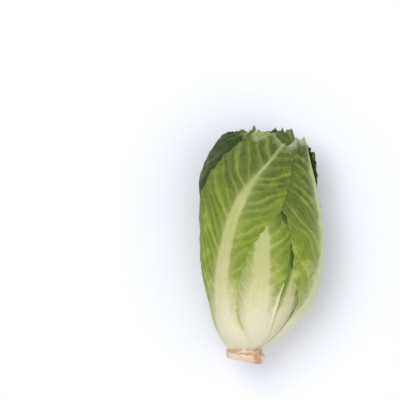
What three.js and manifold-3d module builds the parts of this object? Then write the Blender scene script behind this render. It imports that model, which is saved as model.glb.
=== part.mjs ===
// A romaine lettuce head of the small gem kind, cut at the stem and lying on its side.
// Millimetres. +Y runs from the cut stem to the leaf tips and +Z is up. The origin is the
// middle of the flat spot that the head rests on.
//
// The head is an egg-shaped body on a bent axis. A place on that body has two angles in
// degrees: "round" goes round the axis (0 at +X, 90 up, 180 at -X, 270 down) and "station"
// goes along it (0 at the stem, 180 at the crown). Every leaf is a patch of the body. The
// leaves are listed from the outside in, and each one lies deeper wherever others cover it,
// by the thickness of what covers it, so that they wrap each other and never cross.
import * as THREE from "three";
import Module from "manifold-3d";

const { degToRad, smoothstep } = THREE.MathUtils;

// Driving dimensions of the whole head.
const HALF_LENGTH = 80;
const HALF_WIDTH = 43;
const DEPTH_SHARE = 0.92; // the head is a little flatter than it is wide
const STEM_POWER = 1.12; // the body is pointed towards the stem
const CROWN_POWER = 0.72; // and blunt at the crown
const PRESSED = 1.8; // how far the resting side is flattened
const PRESS_BLEND = 0.8; // height over which the flat spot runs out
const AXIS_HEIGHT = HALF_WIDTH * DEPTH_SHARE - PRESSED;
const STEM_OFFSET = -13; // the stem sits off the middle, towards -X
const STEM_OFFSET_FROM = 76; // below the middle, where the axis starts to bend
const STEM_OFFSET_FADE = 16;
const CROWN_LEAN = -4;
const CROWN_LEAN_OVER = [-10, 50]; // the stretch of the axis that leans

// The stem: a cut stump outside, and a cone that the leaves grow from inside.
const STEM_SIDES = 20;
const STEM_PROFILE = [
  // [y, radius]
  [-84, 11.8],
  [-82.5, 12.6],
  [-79, 12.8],
  [-74.8, 12],
  [-71, 9.4],
  [-66, 7.2],
  [-56, 5.4],
  [-43, 3],
];
const CUT_SLOPE = 0.19; // the knife's cut isn't square to the axis
const STEM_RIDGES = 7; // stubs of the leaves that were pulled off
const STEM_RIDGE_HEIGHT = 0.5;
const STEM_GAP = 0.35;

// Leaves.
const BLADE = 1.0; // thickness of the green blade
const LEAF_GAP = 1.3; // air between one leaf and the next
const RIB_FOOT = 3.6; // added thickness of the midrib at its foot
const RIB_TIP = 0.3;
const RIB_HALF_WIDTH_FOOT = 9.4;
const RIB_HALF_WIDTH_TIP = 0.8;
const RIB_RISE = 0.45; // share of the midrib's thickness that stands out of the leaf
const RIB_RISE_OVER = [-0.05, 0.3]; // share of a leaf's length over which it starts to
const FOOT_STEP = 0.25; // leaves further in start this much deeper at the stem
const FOOT_FADE = [20, 80]; // stations over which that step runs out
const EDGE_MARGIN = 3.5; // how far beyond its edge a leaf still pushes the others in
const EDGE_SOFT = 8; // distance over which they rise again
const TOP_SOFT = 32; // the same past its top
const SPREAD_PER_DEGREE = 0.6; // distance round the body for one degree, at its middle
const COARSE_SLACK = 0.7; // more air under the inner leaves, whose meshes are coarse
const HEART_SLACK = 0.6; // and round the heart
const CROWN_SINK = 5; // the heart's tips sit this much lower than the outer leaves'
const CROWN_SINK_OVER = [110, 160]; // stations over which they come to do so
const PATH_PER_DEGREE = 1.2; // distance along the body for one degree of station
const RUFFLE_FROM = 0.4; // where along a leaf its margin starts to wave
const FINE_GRID = [14, 12]; // rows and columns of a leaf that shows
const COARSE_GRID = [12, 10];

// Each leaf's knots are at equal steps. Course is how far its midrib swings from its turn, in
// degrees from foot to top. Wings are its half widths in degrees from foot to top:
// low is the side of smaller round, high the side of larger round. Top is how far up its blade
// runs, from the low edge to the high one, as a share of its reach. Lift is how far its upper
// half stands out where it's bare.
const FULL_WING = [46, 46, 58, 66, 60, 48];
const DEFAULTS = {
  course: [0, 0],
  low: FULL_WING,
  high: FULL_WING,
  top: [0.82, 0.93, 0.985, 1, 0.985, 0.93, 0.82],
  lift: [0, 0, 0, 1, 2.5],
  waves: 6,
  ruffle: 1.6,
  grid: FINE_GRID,
};
const LEAVES = [
  {
    name: "leaf_01_front_left",
    turn: 139.8,
    course: [-30, -12, -1, 0, -5, -13, -25, -40.6, -62.8, -87.8, -111.8],
    foot: 19,
    reach: 160,
    low: [30.5, 27.4, 23.9, 23.5, 24.8, 31, 44.7, 44.9, 31, 10, 8],
    high: [69.2, 53.8, 50.5, 51.5, 52.9, 56.4, 59.6, 60.9, 60.5, 69.1, 73.1],
    top: [0.86, 0.87, 0.88, 0.885, 0.89, 0.9, 0.92, 0.945, 0.93, 0.955, 1.03],
    ruffle: 1.8,
    waves: 4,
    phase: 0.4,
    color: 0x8ea75c,
  },
  {
    name: "leaf_02_right_back",
    turn: 305,
    course: [0, 0.5, 2, 4.5, 8],
    foot: 19,
    reach: 158,
    low: [46, 46, 56, 62, 58, 46],
    high: [20, 38, 55, 51, 60, 56],
    top: [0.9, 0.97, 1, 0.98, 0.93, 0.88, 0.84],
    lift: [0, 0, 0, 2.4, 2.5],
    ruffle: 2.2,
    waves: 7,
    phase: 1.9,
    color: 0x5f7c36,
  },
  {
    name: "leaf_03_right",
    turn: 13,
    course: [0, 0.4, 1.5, 3.4, 6],
    foot: 19,
    reach: 148,
    low: [41, 41, 55, 61, 55, 41],
    high: [34.1, 29.4, 29.1, 32.5, 47.3, 51.3, 53.3, 55.3, 60, 61.5, 54],
    top: [0.9, 0.96, 0.99, 1, 0.99, 0.97, 0.95],
    lift: [0, 0, 0, 1.5, 5],
    waves: 4,
    phase: 3.1,
    color: 0x83a052,
  },
  {
    name: "leaf_04_left_back",
    turn: 208,
    course: [0, -0.8, -3, -6.8, -12],
    foot: 19,
    reach: 160,
    low: [46, 44, 58, 70, 80, 84],
    high: [46, 46, 58, 66, 60, 46],
    top: [0.97, 1, 0.98, 0.95, 0.93, 0.9, 0.84],
    lift: [0, -0.3, 1.8, 0, -0.5],
    ruffle: 0.7,
    phase: 0.9,
    color: 0x5c7a38,
  },
  {
    name: "leaf_05_under",
    turn: 258,
    foot: 20,
    reach: 156,
    ruffle: 2.2,
    waves: 5,
    phase: 2.2,
    color: 0x7e9a4c,
  },
  {
    name: "leaf_06_centre",
    turn: 79.8,
    course: [0, 5.7, 12.7, 14.4, 12.9, 12.2, 10.8, 7.9, 4.6, 0.7, -2.3],
    foot: 17,
    reach: 152,
    low: [28.8, 25.3, 22.5, 23.1, 25.9, 28.5, 31, 35.1, 37.5, 33.1, 27.7],
    high: [51.2, 38.6, 26.5, 30.4, 40.1, 45.7, 50.4, 54.5, 56.5, 54.3, 51.5],
    ruffle: 1.2,
    waves: 5,
    phase: 1.3,
    color: 0xb5c07a,
  },
  {
    name: "leaf_07_centre_right",
    turn: 56,
    course: [0, 2.4, 4.3, 4.3, 1.7, -2.4, -7.2, -12.1, -21, -27.5, -33],
    foot: 18,
    reach: 160,
    low: [42, 39.8, 37.8, 40.1, 42.3, 44.8, 47.5, 48.6, 50, 52, 52],
    high: [32, 25.2, 18.4, 18.1, 21.1, 26.1, 32, 37.9, 48, 52, 54],
    top: [0.92, 0.97, 1, 1, 1, 0.99, 0.97],
    lift: [0, 0, 1, 4, 8],
    waves: 5,
    phase: 2.9,
    color: 0xa9b86e,
  },
  {
    name: "leaf_08_left",
    turn: 176,
    foot: 24,
    reach: 162,
    phase: 0.2,
    grid: COARSE_GRID,
    color: 0x86a04e,
  },
  {
    name: "leaf_09_right_low",
    turn: 328,
    foot: 25,
    reach: 163,
    phase: 4.0,
    grid: COARSE_GRID,
    color: 0x86a04e,
  },
  {
    name: "leaf_10_inner_under",
    turn: 232,
    foot: 26,
    reach: 164,
    phase: 5.0,
    grid: COARSE_GRID,
    color: 0x93ab57,
  },
  {
    name: "leaf_11_inner_front",
    turn: 118,
    foot: 27,
    reach: 165,
    phase: 2.0,
    grid: COARSE_GRID,
    color: 0x93ab57,
  },
  {
    name: "leaf_12_inner_right",
    turn: 8,
    foot: 28,
    reach: 166,
    phase: 1.0,
    grid: COARSE_GRID,
    color: 0x9db35f,
  },
];
// The heart: a core, and the tips of the youngest leaves that stand out of it.
const TIP_TURNS = [260, 150, 30, 305, 80];
const TIPS = TIP_TURNS.map((turn, i) => ({
  turn,
  foot: 106,
  reach: 168 + 2.4 * i,
  low: [70, 72, 70, 64, 60, 56],
  high: [70, 72, 70, 64, 60, 56],
  lift: [0, 0, 0, 0.5, 1],
  phase: 1.7 * i,
  grid: [9, 8],
}));
const HEART_COLOR = 0xb9c777;
const CORE_SIDES = 24;
const CORE_ROWS = 12;
const CORE_SPAN = [34, 158];
const CORE_SINK = 0.4; // the tips' feet stand this much proud of the core
const CORE_CLOSE = [112, 9]; // from this station on the core sinks by this much more
const CORE_CAP = 3;
const STACK = [...LEAVES, ...TIPS].map((leaf) => ({ ...DEFAULTS, ...leaf }));

const STEM_COLOR = 0xcdb08f;

/** The body's radius in the X direction, and its slope, at a station in radians. */
function bodyRadius(station) {
  const s = Math.max(Math.sin(station), 0.03);
  const power = station < Math.PI / 2 ? STEM_POWER : CROWN_POWER;
  return {
    radius: HALF_WIDTH * s ** power,
    slope: HALF_WIDTH * power * s ** (power - 1) * Math.cos(station),
  };
}

/** Where the bent axis is in X, and its slope, at a given y. */
function axisOffset(y) {
  const above = Math.max(y + STEM_OFFSET_FROM, 0);
  const bend = STEM_OFFSET * Math.exp(-above / STEM_OFFSET_FADE);
  const lean = CROWN_LEAN * smoothstep(y, ...CROWN_LEAN_OVER);
  return { x: bend + lean, slope: -bend / STEM_OFFSET_FADE };
}

/** Slow lumps that all leaves share, as on a head that grew a little uneven. */
function lumps(a, f) {
  const around = 0.5 * Math.sin(5 * a + 3 * f) - 0.7 * Math.sin(3 * a + 4 * f + 2.1);
  return (around + 0.6 * Math.sin(2 * a - 5 * f + 0.7)) * Math.sin(f);
}

/** The place that lies a given depth under the body's skin, pressed flat where it rests. */
function place(round, station, depth) {
  const a = degToRad(round);
  const f = degToRad(station);
  const { radius, slope } = bodyRadius(f);
  const y = -HALF_LENGTH * Math.cos(f);
  const axis = axisOffset(y);
  const yRate = HALF_LENGTH * Math.sin(f);
  const normal = new THREE.Vector3(
    DEPTH_SHARE * yRate * Math.cos(a),
    -DEPTH_SHARE * (slope + Math.cos(a) * axis.slope * yRate),
    yRate * Math.sin(a),
  ).normalize();
  const point = new THREE.Vector3(
    axis.x + radius * Math.cos(a),
    y,
    AXIS_HEIGHT + DEPTH_SHARE * radius * Math.sin(a),
  ).addScaledVector(normal, lumps(a, f) - depth);
  const floor = Math.max(depth, 0);
  const mix = Math.max(PRESS_BLEND - Math.abs(point.z - floor), 0);
  point.z = Math.max(point.z, floor) + (mix * mix) / (4 * PRESS_BLEND);
  return point;
}

/** The value at x (0 to 1) of a smooth curve through knots at equal steps. */
function along(knots, x) {
  const last = knots.length - 1;
  const scaled = THREE.MathUtils.clamp(x, 0, 1) * last;
  const i = Math.min(Math.floor(scaled), last - 1);
  const t = scaled - i;
  const [b, c] = [knots[i], knots[i + 1]];
  const [a, d] = [knots[Math.max(i - 1, 0)], knots[Math.min(i + 2, last)]];
  return b + 0.5 * t * (c - a + t * (2 * a - 5 * b + 4 * c - d + t * (3 * (b - c) + d - a)));
}

const midline = (leaf, v) => leaf.turn + along(leaf.course, v);
const wingAt = (leaf, side, v) => along(side < 0 ? leaf.low : leaf.high, v);
const topAt = (leaf, u) => along(leaf.top, 0.5 * (u + 1));
const liftAt = (leaf, v) => along(leaf.lift, 2 * v - 1);

/** A leaf's own coordinates at a place: u across it, v along it, and the wing there. */
function leafPlace(leaf, round, station) {
  const v = (station - leaf.foot) / (leaf.reach - leaf.foot);
  const off = THREE.MathUtils.euclideanModulo(round - midline(leaf, v) + 180, 360) - 180;
  const wing = wingAt(leaf, off, v);
  return { u: off / wing, v, wing, off };
}

/** Shape of the midrib at a place on a leaf: 1 on its crest and 0 beside it. */
function ribShape(at, station) {
  const v = THREE.MathUtils.clamp(at.v, 0, 1);
  const half = RIB_HALF_WIDTH_TIP + (RIB_HALF_WIDTH_FOOT - RIB_HALF_WIDTH_TIP) * (1 - v) ** 1.15;
  const across = degToRad(at.off) * bodyRadius(degToRad(station)).radius;
  return Math.max(0, 1 - (across / (1.25 * half)) ** 2) ** 1.5;
}

const ribThickness = (v) =>
  RIB_TIP + (RIB_FOOT - RIB_TIP) * (1 - THREE.MathUtils.clamp(v, 0, 1)) ** 1.6;

/** 1 on a leaf and a little beyond its edge, falling to 0 further out. */
function cover(leaf, at) {
  const beside = (Math.abs(at.off) - at.wing) * SPREAD_PER_DEGREE;
  const above = (at.v - topAt(leaf, at.u)) * (leaf.reach - leaf.foot) * PATH_PER_DEGREE;
  return (
    (1 - smoothstep(beside, EDGE_MARGIN, EDGE_MARGIN + EDGE_SOFT)) *
    (1 - smoothstep(above, EDGE_MARGIN, EDGE_MARGIN + TOP_SOFT))
  );
}

/** Depth of the stack's layer k at a place, and how open to the air it is there (1 is bare). */
function layer(k, round, station) {
  const inHeart = k >= LEAVES.length;
  const footStep = FOOT_STEP * Math.min(k, LEAVES.length) * (1 - smoothstep(station, ...FOOT_FADE));
  const inner = STACK.findIndex((leaf) => leaf.grid === COARSE_GRID);
  const sunk = inHeart ? 1 : Math.max(k - inner + 1, 0) / (LEAVES.length - inner + 2);
  const sink = CROWN_SINK * sunk * smoothstep(station, ...CROWN_SINK_OVER);
  let depth = footStep + sink + (inHeart ? HEART_SLACK : 0);
  let open = 1;
  for (const leaf of STACK.slice(0, k)) {
    const at = leafPlace(leaf, round, station);
    const covered = cover(leaf, at);
    const gap = LEAF_GAP + (leaf.grid === COARSE_GRID ? COARSE_SLACK : 0);
    depth += covered * (BLADE + gap + ribThickness(at.v) * ribShape(at, station));
    open *= 1 - covered;
  }
  return { depth, open };
}

/** Waves along a leaf's free margin, standing outwards, strongest at its top. */
function ruffleAt(leaf, u, v) {
  const edge = 1 - (1 - u ** 6) * (1 - Math.min(v / topAt(leaf, u), 1) ** 9);
  const wave = Math.sin(2 * Math.PI * (leaf.waves * (0.5 * u + 0.45 * Math.abs(v))) + leaf.phase);
  return leaf.ruffle * edge * smoothstep(v, RUFFLE_FROM, 1) * (0.5 + 0.5 * wave);
}

/** The outer and inner points of a leaf at u (-1 to 1) and t (0 at its foot, 1 at its top). */
function leafPoints(k, u, t) {
  const leaf = STACK[k];
  const v = t * topAt(leaf, u);
  const station = leaf.foot + v * (leaf.reach - leaf.foot);
  const off = u * wingAt(leaf, u, v);
  const round = midline(leaf, v) + off;
  const { depth, open } = layer(k, round, station);
  const rib = ribThickness(v) * ribShape({ off, v }, station);
  const rise = RIB_RISE * rib * smoothstep(v, ...RIB_RISE_OVER);
  const outer = depth - open * (liftAt(leaf, v) + ruffleAt(leaf, u, v) + rise);
  return {
    outer: place(round, station, outer),
    inner: place(round, station, outer + BLADE + rib),
  };
}

/** A closed mesh from an outer and an inner grid of points, split alike on both faces. */
function slabGeometry(outer, inner, rows, columns) {
  const positions = [...outer, ...inner].flatMap((p) => p.toArray());
  const wide = columns + 1;
  const under = outer.length;
  const index = [];
  const quad = (a, b, c, d) => index.push(a, b, c, a, c, d);
  for (let r = 0; r < rows; r++) {
    for (let c = 0; c < columns; c++) {
      const [a, b] = [r * wide + c, r * wide + c + 1];
      const [d, e] = [a + wide, b + wide];
      index.push(a, d, e, a, e, b);
      index.push(a + under, e + under, d + under, a + under, b + under, e + under);
    }
  }
  for (let c = 0; c < columns; c++) {
    const top = rows * wide + c;
    quad(c, c + 1, c + 1 + under, c + under);
    quad(top + 1, top, top + under, top + 1 + under);
  }
  for (let r = 0; r < rows; r++) {
    const [a, b] = [r * wide, r * wide + columns];
    quad(a + wide, a, a + under, a + wide + under);
    quad(b, b + wide, b + wide + under, b + under);
  }
  const geometry = new THREE.BufferGeometry();
  geometry.setAttribute("position", new THREE.Float32BufferAttribute(positions, 3));
  geometry.setIndex(index);
  return geometry;
}

function leafGeometry(k) {
  const [rows, columns] = STACK[k].grid;
  const outer = [];
  const inner = [];
  for (let r = 0; r <= rows; r++) {
    for (let c = 0; c <= columns; c++) {
      const points = leafPoints(k, -1 + (2 * c) / columns, r / rows);
      outer.push(points.outer);
      inner.push(points.inner);
    }
  }
  return slabGeometry(outer, inner, rows, columns);
}

/** A closed mesh through rings of points with the same count, capped at both ends. */
function ringsGeometry(rings, start, end) {
  const sides = rings[0].length;
  const positions = [...rings.flat(), start, end].flatMap((p) => p.toArray());
  const [first, last] = [rings.length * sides, rings.length * sides + 1];
  const top = (rings.length - 1) * sides;
  const index = [];
  for (let s = 0; s < sides; s++) {
    const n = (s + 1) % sides;
    for (let r = 0; r < rings.length - 1; r++) {
      const [a, b] = [r * sides + s, r * sides + n];
      index.push(a, a + sides, b + sides, a, b + sides, b);
    }
    index.push(first, s, n);
    index.push(last, top + n, top + s);
  }
  const geometry = new THREE.BufferGeometry();
  geometry.setAttribute("position", new THREE.Float32BufferAttribute(positions, 3));
  geometry.setIndex(index);
  return geometry;
}

/** The stem, grown by an allowance all over where it has to cut the leaves' feet. */
function stemGeometry(grown) {
  const centre = (y) => new THREE.Vector3(axisOffset(y).x, y, AXIS_HEIGHT);
  const rings = STEM_PROFILE.map(([y, radius], row) => {
    const middle = centre(y);
    return Array.from({ length: STEM_SIDES }, (_, s) => {
      const a = (2 * Math.PI * s) / STEM_SIDES;
      const ridge = row < 4 ? STEM_RIDGE_HEIGHT * Math.sin(STEM_RIDGES * a + 2.4 * row) : 0;
      const r = radius + ridge + grown;
      const cut = row < 2 ? -CUT_SLOPE * r * Math.cos(a) : 0;
      return new THREE.Vector3(r * Math.cos(a), cut, r * Math.sin(a)).add(middle);
    });
  });
  const [low, high] = [STEM_PROFILE[0][0], STEM_PROFILE[STEM_PROFILE.length - 1][0]];
  return ringsGeometry(rings, centre(low), centre(high + grown));
}

/** The heart's core: a closed body that the tips' feet are sunk in. */
function coreGeometry() {
  const rings = Array.from({ length: CORE_ROWS + 1 }, (_, row) => {
    const station = THREE.MathUtils.lerp(...CORE_SPAN, row / CORE_ROWS);
    const closing = CORE_CLOSE[1] * smoothstep(station, CORE_CLOSE[0], CORE_SPAN[1]);
    return Array.from({ length: CORE_SIDES }, (_, side) => {
      const round = (360 * side) / CORE_SIDES;
      const { depth } = layer(LEAVES.length, round, station);
      return place(round, station, depth + CORE_SINK + closing);
    });
  });
  const middle = (ring) =>
    ring.reduce((sum, p) => sum.add(p), new THREE.Vector3()).divideScalar(ring.length);
  const cap = new THREE.Vector3(0, CORE_CAP, 0).add(middle(rings[CORE_ROWS]));
  return ringsGeometry(rings, middle(rings[0]), cap);
}

const wasm = await Module();
wasm.setup();

function toSolid(geometry) {
  return new wasm.Manifold(
    new wasm.Mesh({
      numProp: 3,
      vertProperties: geometry.getAttribute("position").array,
      triVerts: new Uint32Array(geometry.getIndex().array),
    }),
  );
}

function toGeometry(solid) {
  const mesh = solid.getMesh();
  const geometry = new THREE.BufferGeometry();
  geometry.setAttribute("position", new THREE.BufferAttribute(mesh.vertProperties, 3));
  geometry.setIndex(new THREE.BufferAttribute(mesh.triVerts, 1));
  return geometry;
}

/** The largest of a solid's separate bodies: cutting can leave a crumb at a leaf's foot. */
function largest(solid) {
  return solid.decompose().reduce((best, body) => (body.volume() > best.volume() ? body : best));
}

function piece(name, geometry, color, roughness) {
  geometry.computeVertexNormals();
  const material = new THREE.MeshStandardMaterial({ color, roughness, metalness: 0 });
  const mesh = new THREE.Mesh(geometry, material);
  mesh.name = name;
  return mesh;
}

const head = new THREE.Group();
const footCutter = toSolid(stemGeometry(STEM_GAP));

head.add(piece("stem", stemGeometry(0), STEM_COLOR, 0.7));
LEAVES.forEach((leaf, k) => {
  const trimmed = largest(toSolid(leafGeometry(k)).subtract(footCutter));
  head.add(piece(leaf.name, toGeometry(trimmed), leaf.color, 0.5));
});

const core = toSolid(coreGeometry()).subtract(footCutter);
const heart = TIPS.reduce((sum, _, i) => sum.add(toSolid(leafGeometry(LEAVES.length + i))), core);
head.add(piece("heart", toGeometry(largest(heart)), HEART_COLOR, 0.5));

export default head;
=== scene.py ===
"""A small romaine lettuce head, cut at the stem and lying on its side.

Sizes are in millimetres and angles in degrees until a mesh is written. The head is an
egg-shaped body on a bent axis. A place on it has two angles: "turn" goes round the axis
(0 at +X, 90 up) and "station" goes along it (0 at the stem, 180 at the crown). Every leaf
is a patch of that body, and the leaves lie over each other in one stack, outermost first.
"""

import logging
import math
from dataclasses import dataclass, field
from enum import Enum
from functools import partialmethod
from typing import Any, Union

import bpy
import numpy as np
from numpy.typing import NDArray
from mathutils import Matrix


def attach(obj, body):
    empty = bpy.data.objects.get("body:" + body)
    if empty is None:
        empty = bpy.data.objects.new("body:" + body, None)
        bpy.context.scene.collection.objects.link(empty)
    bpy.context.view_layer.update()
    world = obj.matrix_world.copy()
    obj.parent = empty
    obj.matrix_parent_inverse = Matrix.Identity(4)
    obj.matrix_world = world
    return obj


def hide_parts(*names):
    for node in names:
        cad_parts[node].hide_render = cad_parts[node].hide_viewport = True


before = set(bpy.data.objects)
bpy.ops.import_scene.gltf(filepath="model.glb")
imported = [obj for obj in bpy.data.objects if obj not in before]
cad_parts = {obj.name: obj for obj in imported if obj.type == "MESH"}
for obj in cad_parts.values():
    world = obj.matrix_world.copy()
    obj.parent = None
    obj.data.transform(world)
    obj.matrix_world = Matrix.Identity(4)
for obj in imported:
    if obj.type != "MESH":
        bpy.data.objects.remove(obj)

Floats = NDArray[np.float64]
Colour = tuple[float, float, float]
Place = tuple[float, float, float]
Knots = tuple[float, ...]
Marks = dict[str, Floats]
Spot = tuple[Floats, Floats, Floats]

MM = 0.001
# Large odd numbers that scatter a cell's place, and half of the greatest 16-bit value.
MIXERS = (374761393, 668265263, 974634777, 1274126177)
HALF_WORD = 32767.5
MARKS = ("across", "along", "seed", "share", "side", "ribbed", "rim", "aged", "shade")
STUMP_MARKS = ("scar", "cut", "brown", "east", "north", "up")
LOG = logging.getLogger("lettuce")


# ------------------------ curves and grain


def smoothstep(x: Any, low: float, high: float) -> Any:
    """A smooth rise from 0 at low to 1 at high; low may be the larger."""
    t = np.clip((np.asarray(x, dtype=float) - low) / (high - low), 0.0, 1.0)
    return t * t * (3.0 - 2.0 * t)


def through(knots: Knots, x: Any) -> Floats:
    """Follow a smooth curve through knots at equal steps.

    Args:
        knots: The curve's values.
        x: Where to read it, from 0 to 1.

    Returns:
        The curve's value at each x.
    """
    values = np.asarray(knots, dtype=float)
    last = len(values) - 1
    scaled = np.clip(np.asarray(x, dtype=float), 0.0, 1.0) * last
    i = np.minimum(scaled.astype(int), last - 1)
    t = scaled - i
    b, c = values[i], values[i + 1]
    a, d = values[np.maximum(i - 1, 0)], values[np.minimum(i + 2, last)]
    cubic = 2 * a - 5 * b + 4 * c - d + t * (3 * (b - c) + d - a)
    return b + 0.5 * t * (c - a + t * cubic)


class Numbers:
    """Maths on arrays, under the names that a Board has for sockets."""

    sine = staticmethod(np.sin)
    floor = staticmethod(np.floor)
    sign = staticmethod(np.sign)
    smaller = staticmethod(np.minimum)
    rise = staticmethod(smoothstep)


def grain(x: Any, y: Any, seed: int) -> Floats:
    """Smooth random values on a plane, with one lump for each unit.

    Args:
        x: First coordinate.
        y: Second coordinate.
        seed: Which pattern.

    Returns:
        Values from -1 to 1.
    """
    x, y = np.broadcast_arrays(np.asarray(x, dtype=float), np.asarray(y, dtype=float))
    col, row = np.floor(x).astype(np.int64), np.floor(y).astype(np.int64)
    fx, fy = x - col, y - row
    fx, fy = fx * fx * (3 - 2 * fx), fy * fy * (3 - 2 * fy)

    def corner(i: int, j: int) -> Floats:
        """The random value at one corner of each cell."""
        mixed = (col + i) * MIXERS[0] + (row + j) * MIXERS[1] + seed * MIXERS[2]
        mixed = (mixed ^ (mixed >> 13)) * MIXERS[3]
        mixed = mixed ^ (mixed >> 16)
        return (mixed & 0xFFFF) / HALF_WORD - 1.0

    low = corner(0, 0) * (1 - fx) + corner(1, 0) * fx
    high = corner(0, 1) * (1 - fx) + corner(1, 1) * fx
    return low * (1 - fy) + high * fy


def from_screen(*channels: int) -> Colour:
    """A linear colour for a shader.

    Args:
        channels: Red, green and blue on a screen, from 0 to 255.

    Returns:
        The colour.
    """
    share = np.array(channels) / 255.0
    curved = ((share + 0.055) / 1.055) ** 2.4
    return tuple(np.where(share <= 0.04045, share / 12.92, curved).tolist())


# ------------------------ the head's form


@dataclass(frozen=True)
class HeadBody:
    """The egg-shaped body that all leaves are patches of.

    A wave has its height, how often it goes round and along, and its shift. What is named
    low is a bulge on the left and a hollow on the right, near the stem.
    """

    half_length: float = 80.0
    half_width: float = 43.0
    depth_share: float = 0.92
    stem_power: float = 1.12
    crown_power: float = 0.72
    pressed: float = 1.8
    press_blend: float = 0.8
    stem_offset: float = -13.0
    stem_offset_from: float = 76.0
    stem_offset_fade: float = 16.0
    crown_lean: float = -4.0
    crown_lean_over: tuple[float, float] = (-10.0, 50.0)
    narrowest: float = 0.03
    waves: tuple[Knots, ...] = ((0.5, 5, 3, 0.0), (-0.7, 3, 4, 2.1), (0.6, 2, -5, 0.7))
    low_left: float = 2.6
    low_right: float = 1.8
    low_at: float = 0.72
    low_over: float = 0.22
    path_steps: int = 361

    @property
    def axis_height(self) -> float:
        """Height of the body's axis over the surface that it lies on."""
        return self.half_width * self.depth_share - self.pressed

    def radius(self, station: Floats) -> tuple[Floats, Floats]:
        """The body's half width and its slope.

        Args:
            station: Stations in radians.

        Returns:
            The half width, and its change for each radian.
        """
        s = np.maximum(np.sin(station), self.narrowest)
        power = np.where(station < math.pi / 2, self.stem_power, self.crown_power)
        half = self.half_width * s**power
        return half, self.half_width * power * s ** (power - 1) * np.cos(station)

    def axis(self, y: Floats) -> tuple[Floats, Floats]:
        """Where the bent axis runs.

        Args:
            y: Places along the head.

        Returns:
            The axis's X there, and its slope.
        """
        above = np.maximum(y + self.stem_offset_from, 0.0)
        bend = self.stem_offset * np.exp(-above / self.stem_offset_fade)
        lean = self.crown_lean * smoothstep(y, *self.crown_lean_over)
        return bend + lean, -bend / self.stem_offset_fade

    def lumps(self, a: Floats, f: Floats) -> Floats:
        """Slow lumps that all leaves share.

        Args:
            a: Turns in radians.
            f: Stations in radians.

        Returns:
            How far the skin stands out.
        """
        slow = sum(high * np.sin(n * a + m * f + shift) for high, n, m, shift in self.waves)
        left, right = np.maximum(-np.cos(a), 0.0), np.maximum(np.cos(a), 0.0)
        low = np.exp(-(((f - self.low_at) / self.low_over) ** 2))
        return slow * np.sin(f) + (self.low_left * left**3 - self.low_right * right**3) * low

    def place(self, turn: Floats, station: Floats, depth: Floats) -> Floats:
        """Points at a depth under the body's skin, pressed flat where it rests.

        Args:
            turn: Angles round the axis.
            station: Angles along it.
            depth: How deep the points lie.

        Returns:
            The points, with X, Y and Z in the last dimension.
        """
        a, f = np.radians(turn), np.radians(station)
        half, slope = self.radius(f)
        y = -self.half_length * np.cos(f)
        axis, bend = self.axis(y)
        rate = self.half_length * np.sin(f)
        flat = self.depth_share
        outward = (flat * rate * np.cos(a), -flat * (slope + np.cos(a) * bend * rate))
        normal = np.stack([*outward, rate * np.sin(a)], -1)
        normal /= np.linalg.norm(normal, axis=-1, keepdims=True)
        high = self.axis_height + flat * half * np.sin(a)
        skin = np.stack([axis + half * np.cos(a), y + 0 * a, high], -1)
        points = skin + normal * (self.lumps(a, f) - depth)[..., None]
        floor = np.maximum(depth, 0.0)
        mix = np.maximum(self.press_blend - np.abs(points[..., 2] - floor), 0.0)
        points[..., 2] = np.maximum(points[..., 2], floor) + mix * mix / (4 * self.press_blend)
        return points

    def path(self, station: Floats) -> Floats:
        """Distance along the skin from the stem to each station.

        Args:
            station: Angles along the axis.

        Returns:
            The distances.
        """
        table = np.radians(np.linspace(0.0, 180.0, self.path_steps))
        _, slope = self.radius(table)
        speed = np.hypot(slope, self.half_length * np.sin(table))
        run = np.concatenate([[0.0], np.cumsum(0.5 * (speed[1:] + speed[:-1]) * np.diff(table))])
        return np.interp(np.radians(station), table, run)


class Kind(Enum):
    """Which finish a leaf has."""

    OUTER = "outer_leaf"
    SIDE = "side_leaf"
    DARK = "dark_leaf"
    INNER = "inner_leaf"
    CREST = "crest_leaf"
    HEART = "heart"


FULL_WING: Knots = (46, 46, 58, 66, 60, 48)
FULL_TOP: Knots = (0.82, 0.93, 0.985, 1, 0.985, 0.93, 0.82)


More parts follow.
